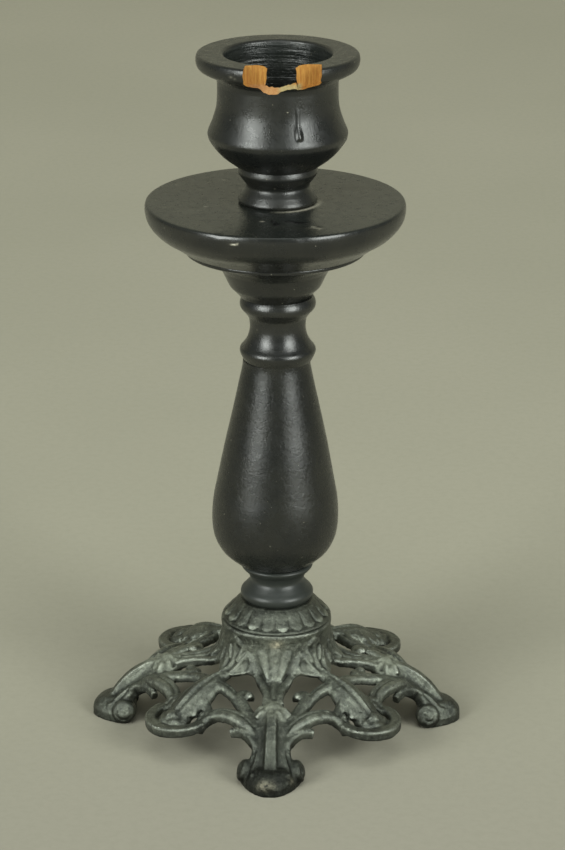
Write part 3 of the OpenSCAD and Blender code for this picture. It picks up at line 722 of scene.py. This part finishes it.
class Casting:
    """Closed meshes of one quarter of the foot, gathered before they are fused."""

    def __init__(self):
        self.verts, self.faces = [], []

    def add(self, verts, faces):
        base = len(self.verts)
        self.verts += [(v[0], v[1], max(0.0, v[2])) for v in verts]
        self.faces += [tuple(base + i for i in f) for f in faces]

    def rings(self, rings):
        """Closed loft through rings of the same number of points."""
        m, n = len(rings[0]), len(rings)
        faces = [tuple(reversed(f)) for f in ring_faces(n, m)]
        faces.append(tuple(range(m)))
        faces.append(tuple(reversed(range((n - 1) * m, n * m))))
        self.add(np.vstack(rings), faces)

    def strand(self, points, kind="plain", steps=6, both=False):
        """Strand through points [x, y, z, half-width, drop, depth]."""
        for side in ((1, -1) if both else (1,)):
            p = np.array(points, float)
            p[:, 1] *= side
            if side < 0:
                p = p[::-1]
            c = smooth_curve(p, steps)
            rings = []
            for i in range(len(c)):
                a, b = c[max(0, i - 1)], c[min(len(c) - 1, i + 1)]
                along = (b - a)[:3] / np.linalg.norm((b - a)[:3])
                across = np.cross(along, outward(c[i]))
                across /= np.linalg.norm(across)
                up = np.cross(across, along)
                s = section(kind, max(c[i][3], 0.15), c[i][4], c[i][5])
                rings.append(c[i][:3] + s[:, :1] * across + s[:, 1:] * up)
            self.rings(rings)

    def ball(self, centre, radii, both=False, rings=10, segs=16):
        for side in ((1, -1) if both else (1,)):
            c = np.array(centre, float) * (1, side, 1)
            v = [c + (0, 0, -radii[2])]
            for i in range(1, rings):
                f = math.pi * i / rings
                for j in range(segs):
                    g = 2 * math.pi * j / segs
                    v.append(c + (radii[0] * math.sin(f) * math.cos(g),
                                  radii[1] * math.sin(f) * math.sin(g),
                                  -radii[2] * math.cos(f)))
            v.append(c + (0, 0, radii[2]))
            faces = [(0, 1 + (j + 1) % segs, 1 + j) for j in range(segs)]
            for i in range(rings - 2):
                a, b = 1 + i * segs, 1 + (i + 1) * segs
                faces += [(a + j, a + (j + 1) % segs, b + (j + 1) % segs, b + j)
                          for j in range(segs)]
            last, a = len(v) - 1, 1 + (rings - 2) * segs
            faces += [(a + j, a + (j + 1) % segs, last) for j in range(segs)]
            self.add(v, faces)

    def boss(self, centre, normal, radius, height, thick, rings=12, segs=72, taper=0.92):
        """Disc square to normal, with its own outline radius(angle) and relief."""
        w = np.array(normal, float) / np.linalg.norm(normal)
        u = np.array([1.0, 0, 0]) - w[0] * w
        u /= np.linalg.norm(u)
        side = np.cross(w, u)
        c = np.array(centre, float)

        def put(r, g, h):
            return c + r * math.cos(g) * u + r * math.sin(g) * side + h * w

        v = [put(0, 0, height(0, 0))]
        for i in range(1, rings + 1):
            for j in range(segs):
                g = 2 * math.pi * j / segs
                v.append(put(radius(g) * i / rings, g, height(i / rings, g)))
        for j in range(segs):
            g = 2 * math.pi * j / segs
            v.append(put(radius(g) * taper, g, -thick))
        v.append(put(0, 0, -thick))
        faces = [(0, 1 + j, 1 + (j + 1) % segs) for j in range(segs)]
        for i in range(rings):
            a, b = 1 + i * segs, 1 + (i + 1) * segs
            faces += [(a + j, b + j, b + (j + 1) % segs, a + (j + 1) % segs)
                      for j in range(segs)]
        last, a = len(v) - 1, 1 + rings * segs
        faces += [(a + j, last, a + (j + 1) % segs) for j in range(segs)]
        self.add(v, faces)

    def turned_four_ways(self):
        v = np.array(self.verts)
        all_v, all_f = [], []
        for q in range(4):
            c, s = math.cos(q * math.pi / 2), math.sin(q * math.pi / 2)
            all_f += [tuple(i + q * len(v) for i in f) for f in self.faces]
            all_v.append(np.stack([v[:, 0] * c - v[:, 1] * s, v[:, 0] * s + v[:, 1] * c,
                                   v[:, 2]], 1))
        return np.vstack(all_v), all_f


BASE_TOP = 34.4
PLATE = 31.2


def skirt_rows(angle):
    """Outline (r, z) of the skirt at an angle, bore, top, outside, hem and inside."""
    c = (1 - math.cos(4 * angle)) / 2
    tip = c ** 3
    arch = 4 * math.sqrt(c) * (1 - math.sqrt(c))
    h = BASE_TOP
    s = 0.5 * c
    outside = smooth_curve([[16.3 + s, h], [16.95 + s, h - 0.25], [17.2 + s, h - 0.9],
                            [17.0 + 0.1 * c, h * 0.90], [17 + 0.1 * c, h * 0.8],
                            [17.4 + 0.9 * c, h * 0.7],
                            [18.4 + 4.4 * tip, h * (0.63 + 0.02 * arch - 0.02 * tip)]], 5)
    inside = smooth_curve([[17.2 + 4.4 * tip, h * (0.6 + 0.02 * arch - 0.02 * tip)],
                           [15.9 + 0.8 * c, h * 0.66], [14.9, h * 0.76], [14.6, PLATE]], 3)
    return np.vstack([[[BORE, h + 1.2], [12.6, h + 1.2], [12.6, h]], outside, inside,
                      [[BORE, PLATE]]])


def on_skirt(degrees, z, out=0.0):
    """Point on the skirt's outside, angle from the leg, raised by out."""
    a = math.radians(degrees)
    rows = skirt_rows(a)[5:34]
    order = np.argsort(rows[:, 1])
    r = float(np.interp(z, rows[order, 1], rows[order, 0])) + out
    return [r * math.cos(a), r * math.sin(a), z]


def cast_skirt():
    n = 160
    rows = [skirt_rows(2 * math.pi * i / n) for i in range(n)]
    m = len(rows[0])
    v = [(p[0] * math.cos(2 * math.pi * i / n), p[0] * math.sin(2 * math.pi * i / n), p[1])
         for i in range(n) for p in rows[i]]
    return v, [tuple(reversed(f)) for f in ring_faces(n, m, close_rows=True)]


def ribs_on_skirt(cast):
    """Palmette above the leg and acanthus leaf on the corner, as raised strands."""
    def rib(path, widths, kind="plain", both=False):
        pts = [on_skirt(a, z, o) + [w, 0.35, 1.6] for (a, z, o), w in zip(path, widths)]
        cast.strand(pts, kind, 5, both)

    rib([(0.5, 31.2, -0.3), (0.5, 29.6, 0.35), (0.5, 27.4, 0.75), (0.3, 24.8, 1.1),
         (0.1, 22.8, 1.7), (0, 21.4, 2.6)], [1.2, 1.75, 1.8, 1.45, 1.1, 0.9])
    rib([(15.4, 30.0, -0.3), (14.0, 28.6, 0.35), (12.2, 26.6, 0.75), (9.3, 24.4, 1.1),
         (6.2, 22.6, 1.7), (4.2, 21.4, 2.5)], [1.0, 1.6, 1.6, 1.25, 0.95, 0.8], both=True)
    rib([(29, 28.6, -0.3), (26, 26.6, 0.4), (22.5, 24.4, 0.7), (18, 22.4, 1.0)],
        [0.8, 1.1, 1.1, 0.9], both=True)
    # leaf on the corner, with fingers that run together in its tip
    rib([(45, 33.2, -0.3), (45, 31.6, 0.6), (45, 29, 0.8), (45, 25, 0.9), (45, 21.3, 0.6)],
        [0.9, 1.6, 1.2, 0.9, 0.8])
    for s in (-1, 1):
        rib([(45 + 1.5 * s, 32.0, 0.5), (45 + 6 * s, 30.4, 0.7), (45 + 10 * s, 28.8, 0.1)],
            [0.9, 1.0, 0.5])
        rib([(45 + 16.5 * s, 28.0, -0.2), (45 + 12.5 * s, 26.2, 0.7),
             (45 + 7.5 * s, 23.6, 1.1), (45 + 2.6 * s, 20.9, 1.0)], [0.6, 0.85, 0.8, 0.6])
        rib([(45 + 12 * s, 30.2, -0.2), (45 + 8.4 * s, 27.8, 0.7), (45 + 4.6 * s, 24.6, 1.0)],
            [0.5, 0.8, 0.6])
        rib([(45 + 20 * s, 26.0, -0.1), (45 + 21 * s, 24.0, 0.6), (45 + 20 * s, 22.4, 0.6)],
            [0.6, 0.9, 0.7])


def half_leg(cast):
    """Side work of a leg, the same on both sides."""
    # spur
    cast.strand([[46.4, 4.6, 10.4, 1.2, 0.3, 3.4], [44.6, 4.8, 12.0, 1.3, 0.4, 3.2],
                 [42.4, 6.0, 13.2, 1.3, 0.5, 2.8], [40.0, 8.4, 13.8, 1.25, 0.4, 2.6],
                 [38.3, 10.8, 13.4, 1.15, 0.4, 2.6], [37.4, 12.8, 12.8, 1.05, 0.3, 2.6]],
                "plain", 6, True)
    # arm, two ridges with a groove between
    cast.strand([[44.4, 4.0, 10.8, 1.0, 0.3, 2.4], [42.6, 4.5, 13.2, 1.5, 0.4, 2.6],
                 [40.4, 5.8, 15.2, 2.1, 0.5, 2.8], [37.8, 8.4, 16.6, 2.6, 0.6, 2.8],
                 [34.8, 12.0, 17.2, 2.7, 0.6, 2.8], [32.0, 16.0, 16.6, 2.6, 0.6, 2.8],
                 [31.4, 19.4, 15.3, 2.35, 0.6, 2.8], [32.9, 21.9, 13.9, 2.0, 0.5, 2.9],
                 [36, 23.2, 12.8, 1.7, 0.4, 3]], "double", 6, True)
    # volute, curled over at its head
    cast.strand([[39.8, 4.4, 15.0, 2.0, 0.5, 2.8], [36.2, 6.2, 16.4, 2.1, 0.5, 2.8],
                 [32.8, 7.9, 17.6, 1.95, 0.5, 2.7], [29.8, 9.2, 18.6, 1.75, 0.4, 2.6],
                 [27.2, 10.0, 19.3, 1.55, 0.4, 2.4], [25.2, 9.6, 19.6, 1.4, 0.3, 2.2],
                 [24.6, 8.2, 19.3, 1.3, 0.3, 2.1], [25.5, 7.0, 18.8, 1.2, 0.3, 2.0],
                 [26.8, 6.8, 18.4, 1.0, 0.3, 1.9]], "plain", 6, True)
    cast.ball((26.4, 7.6, 18.6), (1.8, 1.4, 1.3), True)
    # stem that joins the leg to the root of the leaf
    cast.strand([[33.4, 8.0, 16.8, 1.2, 0.4, 2.2], [29.6, 10.2, 18.3, 1.4, 0.5, 2.2],
                 [26.0, 12.1, 19.5, 1.6, 0.5, 2.2], [22.6, 14.6, 20.4, 1.9, 0.6, 2.3],
                 [20.2, 17.6, 20.9, 2.2, 0.7, 2.4], [18.9, 18.9, 21.0, 1.9, 0.6, 2.4]],
                "double", 6, True)
    # web between leaf and arm
    cast.strand([[24.6, 21.4, 18, 1.5, 0.4, 2.4], [28, 20.2, 16.4, 1.4, 0.4, 2.4],
                 [31.4, 19.2, 15.2, 1.4, 0.4, 2.2]], "plain", 5, True)
    # border of the stem, from the hem to the rosette
    cast.strand([on_skirt(25, 22.3, 0.1) + [0.7, 0.2, 1.6],
                 on_skirt(18, 21.9, 0.7) + [1.05, 0.3, 1.9],
                 [20.6, 4.6, 21.3, 1.15, 0.3, 2.2], [22.8, 3.1, 20.8, 1.15, 0.3, 2.3],
                 [25.6, 2.3, 20.3, 1.05, 0.3, 2.5], [29.2, 2.1, 19.7, 1.05, 0.3, 2.6],
                 [32.0, 2.6, 18.9, 1.0, 0.3, 2.6]], "plain", 6, True)
    # side of the leg, which ends in the curl beside the toe
    cast.strand([[41.6, 5.4, 12.8, 1.1, 0.3, 3.0], [44.2, 4.7, 11.3, 1.15, 0.3, 3.0],
                 [46.6, 4.9, 9.4, 1.3, 0.4, 3.0], [48.6, 5.8, 7.2, 1.6, 0.4, 3.2],
                 [50.0, 6.6, 5.2, 1.7, 0.4, 3.2], [51.0, 6.8, 3.6, 1.4, 0.4, 3.0]],
                "plain", 6, True)

    def curl(q, g):
        """Shallow spiral groove on a domed disc."""
        turn = ((g / (2 * math.pi)) + 0.55) % 1
        groove = math.exp(-((q - 0.28 - 0.5 * turn) / 0.09) ** 2)
        return 2.2 * math.sqrt(max(0.0, 1 - q ** 2.4)) - 0.35 * groove * (q < 0.85)

    for side in (1, -1):
        cast.boss((47.8, 8.0 * side, 3.8), (0.12, 0.95 * side, 0.30), lambda g: 3.65, curl,
                  4.0, 16, 48)


TOE = ((5.6, 0.0), (5.0, 2.7), (3.1, 5.0), (0.9, 6.7), (-1.2, 7.8), (-3.4, 8.7), (-5.4, 8.8),
       (-6.8, 6.4), (-7.4, 0.0))


def toe_outline(g):
    """Shield shape: rounded point outward, broad shoulders, seen from above."""
    ang = [math.atan2(p[1], p[0]) for p in TOE]
    rad = [math.hypot(*p) for p in TOE]
    return float(np.interp(math.atan2(abs(math.sin(g)), math.cos(g)), ang, rad))


def leg_section(x, z, w, e, bar):
    """Section square to the leg: raised bar, hollow flutes and rounded borders."""
    y = np.linspace(-w, w, 49)
    a = np.abs(y)
    half = 1.35 + 0.25 * np.clip((x - 41) / 10, 0, 1)
    wall = 1 / (1 + np.exp(-(a - half - 0.25) * 9))
    s = np.clip((a - half) / (w - half), 0, 1)
    top = -0.32 * bar / 1.7 * np.exp(-(y / 0.62) ** 2) - bar * wall
    top = top - (e - bar) * s - 0.55 * np.sin(math.pi * np.clip(s / 0.8, 0, 1)) * wall
    top = top + 0.35 * np.exp(-((s - 0.88) / 0.1) ** 2) - 0.5 * np.clip((s - 0.93) / 0.07, 0, 1)
    pts = [(x, q, z + h) for q, h in zip(y, top)]
    low = z + top[-1]
    pts += [(x, w, low - 1.2), (x, 0.85 * w, z - e - 3), (x, -0.85 * w, z - e - 3),
            (x, -w, low - 1.2)]
    return np.array(pts)


def leg(cast):
    # stem between its borders
    cast.strand([[17.2, 0, 24.4, 3.0, 0.3, 2], [18.9, 0, 21.8, 4.0, 0.3, 2.0],
                 [21.2, 0, 20.5, 3.2, 0.2, 2.2], [24.6, 0, 19.7, 2.3, 0.2, 2.4],
                 [30, 0, 19.0, 2.2, 0.2, 2.6]], "plain", 6)
    cast.strand([[18.8, 0, 22.4, 0.5, 0.2, 1.6], [21.6, 0, 20.9, 0.7, 0.2, 1.8],
                 [25.6, 0, 20.2, 0.6, 0.2, 2.0], [29.6, 0, 19.6, 0.5, 0.2, 2.0]], "plain", 5)
    stations = smooth_curve([[30.0, 18.4, 2.4, 1.0, 0.0], [32.5, 18.5, 4.4, 1.8, 0.0],
                             [35.5, 18.6, 6.0, 2.8, 0.0], [38.2, 18.5, 6.7, 3.6, 0.3],
                             [40.2, 18.1, 6.4, 4.2, 1.0], [42.2, 17.1, 5.7, 4.5, 1.5],
                             [43.8, 16.1, 5.1, 4.6, 1.7], [45.4, 15.0, 4.7, 4.5, 1.7],
                             [47.0, 13.6, 4.6, 4.2, 1.7], [48.6, 12.0, 4.9, 3.8, 1.7],
                             [50.2, 10.1, 5.6, 3.3, 1.6], [51.4, 8.4, 6.3, 2.8, 1.4],
                             [51.9, 7.6, 6.5, 2.4, 0.3], [53.2, 6.4, 6.0, 1.4, 0.0]], 5)
    cast.rings([leg_section(*s) for s in stations])
    # toe, with two low swellings below the flutes
    cast.boss((52.5, 0, 3.0), (0, 0, 1), toe_outline,
              lambda q, g: 3.6 * (1 - q ** 2.6) - 0.5 * (q > 0.999)
              + 0.5 * math.exp(-((q - 0.55) / 0.2) ** 2) * abs(math.sin(g)) ** 2, 3.2, 14, 96,
              1.02)

    # rosette at the head of the leg: a lobe up the stem and two to the sides
    def petals(g):
        return 5.0 + 1.35 * math.cos(3 * (g - math.pi)) + 0.3 * math.cos(9 * g + 1)

    cast.boss((34.4, 0, 17.0), (0.10, 0, 1), petals,
              lambda q, g: 2.9 * (1 - q ** 3.2) - 0.6 * math.exp(-((q - 0.5) / 0.13) ** 2)
              + 0.35 * math.exp(-(q / 0.25) ** 2)
              + 0.45 * q * math.cos(9 * g + 2 * q), 1.6, 14, 90)
    half_leg(cast)


def panel(cast):
    """Leaf, flower and open ring on the diagonal, drawn along +X and then turned 45."""
    part = Casting()
    part.strand([[20.6, 0, 22.6, 1.6, 0.4, 2.6], [24.4, 0, 21.9, 1.9, 0.5, 2.8],
                 [27.2, 0, 21.6, 3.4, 1.1, 2.6], [31.6, 0, 20.8, 4.8, 2.2, 2.5],
                 [36.0, 0, 19.2, 5.1, 2.6, 2.5], [40.0, 0, 16.6, 4.8, 2.0, 2.6],
                 [42.4, 0, 14.8, 3.8, 1.4, 2.8]], "leaf", 7)
    # fingers of the leaf, which fold over the root of the flower
    for path in (((31.6, 2.2, 19.6, 1.0), (34.6, 4.4, 17.6, 1.3), (36.4, 5.9, 15.4, 0.8)),
                 ((34.8, 1.6, 18.8, 1.0), (38.0, 3.8, 16.4, 1.35), (39.8, 5.4, 14.0, 0.8)),
                 ((38.0, 1.0, 17.4, 1.0), (41.0, 2.7, 15.2, 1.3), (42.8, 4.1, 13.0, 0.8))):
        part.strand([[x, y, z, w, 0.4, 1.8] for x, y, z, w in path], "plain", 5, True)

    def lobes(g):
        return 5.2 + 0.45 * math.cos(5 * g) + 0.25 * math.cos(3 * g + 1)

    part.boss((43.2, 0, 11.9), (0.1, 0, 1), lobes,
              lambda q, g: 2.9 * (1 - q ** 2.8) - 0.6 * math.exp(-((q - 0.52) / 0.12) ** 2)
              + 0.5 * math.exp(-(q / 0.24) ** 2) + 0.4 * q * math.cos(5 * g + 3 * q), 1.8, 14, 90)
    ring = []
    for a in np.linspace(-98, 98, 15):
        d = abs(a) / 98
        ring.append([41.0 + 8.65 * math.cos(math.radians(a)),
                     8.65 * math.sin(math.radians(a)),
                     12.9 + 0.7 * d * d, 1.75 - 0.1 * d, 0.1, 3.3 - 0.6 * d])
    part.strand(ring, "flat", 4)
    # curled ends of the ring, turned in towards the leaf
    part.strand([[38.6, 8.5, 13.6, 1.4, 0.4, 2.4], [37.2, 7.6, 14.3, 1.3, 0.4, 2.2],
                 [36.8, 6.2, 15.0, 1.1, 0.3, 2.0]], "plain", 5, True)
    c = math.sqrt(0.5)
    cast.add([((v[0] - v[1]) * c, (v[0] + v[1]) * c, v[2]) for v in part.verts], part.faces)


def fused(obj, voxel_mm):
    mod = obj.modifiers.new("fuse", "REMESH")
    mod.mode, mod.voxel_size, mod.adaptivity = "VOXEL", voxel_mm * MM, 0.0
    return apply_modifiers(obj)


def neighbour_mean(edges, counts, v):
    a, b = edges[:, 0], edges[:, 1]
    n = len(v)
    total = [np.bincount(a, v[b, k], n) + np.bincount(b, v[a, k], n) for k in range(v.shape[1])]
    return np.stack(total, 1) / counts[:, None]


def cast_base():
    quarter = Casting()
    ribs_on_skirt(quarter)
    leg(quarter)
    panel(quarter)
    verts, faces = quarter.turned_four_ways()
    skirt_v, skirt_f = cast_skirt()
    n = len(verts)
    verts = np.vstack([verts, np.array(skirt_v)])
    faces = faces + [tuple(i + n for i in f) for f in skirt_f]
    base = make_object("cast_base_fused", verts, faces, [iron], 0)
    fused(base, 0.36)

    v = points_mm(base)
    mesh = base.data
    edges = np.empty(len(mesh.edges) * 2, np.int64)
    mesh.edges.foreach_get("vertices", edges)
    edges = edges.reshape(-1, 2)
    counts = np.bincount(edges.ravel(), minlength=len(v)).astype(float)
    for gain in (0.5, -0.52, 0.5, -0.52, 0.5, -0.52):
        v = v + gain * (neighbour_mean(edges, counts, v) - v)
    low = v.copy()
    for _ in range(14):
        low = low + 0.6 * (neighbour_mean(edges, counts, low) - low)
    mesh.vertices.foreach_set("co", (v * MM).astype(np.float32).ravel())
    mesh.update()
    normals = np.empty(len(v) * 3, np.float32)
    mesh.vertices.foreach_get("normal", normals)
    normals = normals.reshape(-1, 3)
    height = ((v - low) * normals).sum(1)
    for _ in range(3):
        height = height + 0.5 * (neighbour_mean(edges, counts, height[:, None])[:, 0] - height)
    # Broad hollowness of each point, which the iron darkens as painted shade.
    for _ in range(46):
        low = low + 0.9 * (neighbour_mean(edges, counts, low) - low)
    hollow = -((v - low) * normals).sum(1)
    pits = 0.07 * wave(v, 0.42, 5) + 0.05 * wave(v, 1.1, 6)
    v = v + normals * pits[:, None]
    v[:, 2] = np.where(v[:, 2] < 0.25, np.minimum(v[:, 2], 0.25) * 0.4, v[:, 2])
    v[:, 2] = np.maximum(v[:, 2], 0)
    lo, hi = [np.array(c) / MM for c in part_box("cast_base")]
    v = np.clip(v, lo + 0.01, hi - 0.01)
    v[:, 2] = np.maximum(v[:, 2], 0)
    mesh.vertices.foreach_set("co", (v * MM).astype(np.float32).ravel())
    mesh.update()
    shade(base, 0)
    set_mask(base, "height", height)
    out = np.hypot(v[:, 0], v[:, 1])
    # Painted shade: faces that turn sideways or down, away from the skirt, join the hollow mask and
    # are darkened.
    steep_face_shade = 0.75 * np.clip((0.32 - normals[:, 2]) / 0.6, 0, 1) * (out > 20)
    set_mask(base, "hollow", np.clip(np.maximum(hollow, steep_face_shade), 0, 1.2))

    dust = np.zeros(len(v))
    for q in range(4):
        a = q * math.pi / 2
        dust += 0.8 * bump_at(v, (35 * math.cos(a), 35 * math.sin(a), 19), (5.5, 5.5, 4))
        b = a + math.pi / 4
        dust += 0.35 * bump_at(v, (18 * math.cos(b), 18 * math.sin(b), 24), (5, 5, 6))
    dust += 0.5 * bump_at(v, (0, -17.5, 28), (7, 3, 5))
    dust += np.clip(normals[:, 2], 0, 1) ** 2 * 0.16
    set_mask(base, "dust", np.clip(dust, 0, 1))
    pale = 0.9 * bump_at(v, (0.6, -17.0, 31.6), (1.8, 1.5, 1.3))
    pale += 0.45 * bump_at(v, (-1.2, -56.8, 3.2), (2.4, 1.3, 1.4))
    pale += 0.35 * bump_at(v, (6.5, -53.4, 3.6), (1.1, 1.0, 1.0))
    set_mask(base, "pale", np.clip(pale, 0, 1))
    # Tone: lighter above 12.5 mm, on the arms and on the side legs; darker near the bore, around the
    # front leg's middle and at the toes; the painted light in it is marked below.
    tone = 1.15 + 0.45 * np.clip((v[:, 2] - 12.5) / 5, 0, 1)
    tone -= 0.20 * np.clip((20 - out) / 2, 0, 1) + 0.30 * bump_at(v, (0, -44, 13), (9, 14, 9))
    # Painted shade: the skirt's rounded shoulder just below the seam is darkened to hold down the
    # highlight it catches.
    tone -= 0.35 * np.clip((v[:, 2] - 33.0) / 0.5, 0, 1) * (out > 15.5)
    turn = np.abs(np.mod(np.degrees(np.arctan2(v[:, 1], v[:, 0])), 90) - 45)
    tone += 0.30 * np.clip((turn - 10) / 6, 0, 1) * np.clip((34 - turn) / 4, 0, 1) \
        * np.clip((out - 27) / 3, 0, 1)
    tone += 0.16 * np.clip((np.abs(v[:, 0]) - 24) / 6, 0, 1) * (turn > 30)
    # Painted light: the open rings of the two front panels are made lighter where they catch
    # highlights, the left one much more.
    tone += 0.40 * bump_at(v, (-36, -36, 10), (10, 10, 8))
    tone += 0.14 * bump_at(v, (36, -36, 10), (10, 10, 8))
    # Painted shade: the leaves of the two front panels are darkened, the left one more.
    for x, y, share in ((-26, -26, 0.35), (26, -26, 0.20)):
        tone -= share * bump_at(v, (x, y, 18), (12, 12, 12))
    share = 0.34 + 0.38 * np.clip((-v[:, 1] - 36) / 6, 0, 1)
    tone *= 1 - share * np.clip((out - 43) / 10, 0, 1) * np.clip((14 - v[:, 2]) / 8, 0, 1)
    set_mask(base, "tone", tone)
    return finish_piece(base, "iron", "cast_base")


candle_cup()
drip_pan()
neck_spool()
baluster()
foot_ring()
boss_cap()
cast_base()

for name in ("tie_bolt", "washer", "square_nut"):
    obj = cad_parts[name]
    for slot in obj.material_slots:
        slot.material = steel


# Backdrop, light and camera

def backdrop():
    profile = [(-3.0, 0.0), (1.2, 0.0)]
    for k in range(1, 13):
        a = math.radians(7.5 * k)
        profile.append((1.2 + 0.8 * math.sin(a), 0.8 * (1 - math.cos(a))))
    profile.append((2.0, 3.0))
    verts, faces = [], []
    for y, z in profile:
        for i in range(9):
            verts.append((-4.0 + i, y, z))
    for i in range(len(profile) - 1):
        for j in range(8):
            a = i * 9 + j
            faces.append((a, a + 1, a + 10, a + 9))
    mesh = bpy.data.meshes.new("floor")
    mesh.from_pydata(verts, [], faces)
    obj = bpy.data.objects.new("floor", mesh)
    bpy.context.scene.collection.objects.link(obj)
    mesh.materials.append(backdrop_paper("backdrop_paper"))
    shade(obj, 0)


def soft_box(name, azimuth, elevation, distance, width, tall, power):
    """Area lamp aimed at the object; azimuth from the front, to the right."""
    lamp = bpy.data.lights.new(name, "AREA")
    lamp.shape, lamp.size, lamp.size_y, lamp.energy = "RECTANGLE", width, tall, power
    lamp.color = (0.955, 1.0, 0.95)
    obj = bpy.data.objects.new(name, lamp)
    a, e = math.radians(azimuth), math.radians(elevation)
    target = Vector((0, 0, 0.11))
    obj.location = target + distance * Vector((math.sin(a) * math.cos(e),
                                               -math.cos(a) * math.cos(e), math.sin(e)))
    obj.rotation_euler = (target - obj.location).to_track_quat("-Z", "Y").to_euler()
    bpy.context.scene.collection.objects.link(obj)


def camera():
    data = bpy.data.cameras.new("camera")
    data.sensor_fit, data.sensor_height = "VERTICAL", 36.0
    data.lens = 3043.1 / 850 * 36
    data.shift_x = (282.5 - 276.3) / 850
    data.clip_start, data.clip_end = 0.05, 20
    obj = bpy.data.objects.new("camera", data)
    a = math.radians(2)
    obj.location = (0.874 * math.sin(a), -0.874 * math.cos(a), 0.4207)
    obj.rotation_euler = (math.radians(90 - 20.288), 0, a)
    bpy.context.scene.collection.objects.link(obj)
    bpy.context.scene.camera = obj


backdrop()
soft_box("key_left", -45, 21.5, 3.0, 1.5, 1.9, 76)
soft_box("key_right", 48, 21.5, 3.0, 1.5, 1.9, 77)
soft_box("overhead", 0, 70, 2.2, 1.3, 1.3, 13)
camera()
world = bpy.data.worlds.new("studio")
bpy.context.scene.world = world
world.use_nodes = True
world.node_tree.nodes["Background"].inputs["Color"].default_value = rgb(0.174, 0.182, 0.167)
world.node_tree.nodes["Background"].inputs["Strength"].default_value = 1.0
bpy.context.scene.view_settings.view_transform = "Standard"
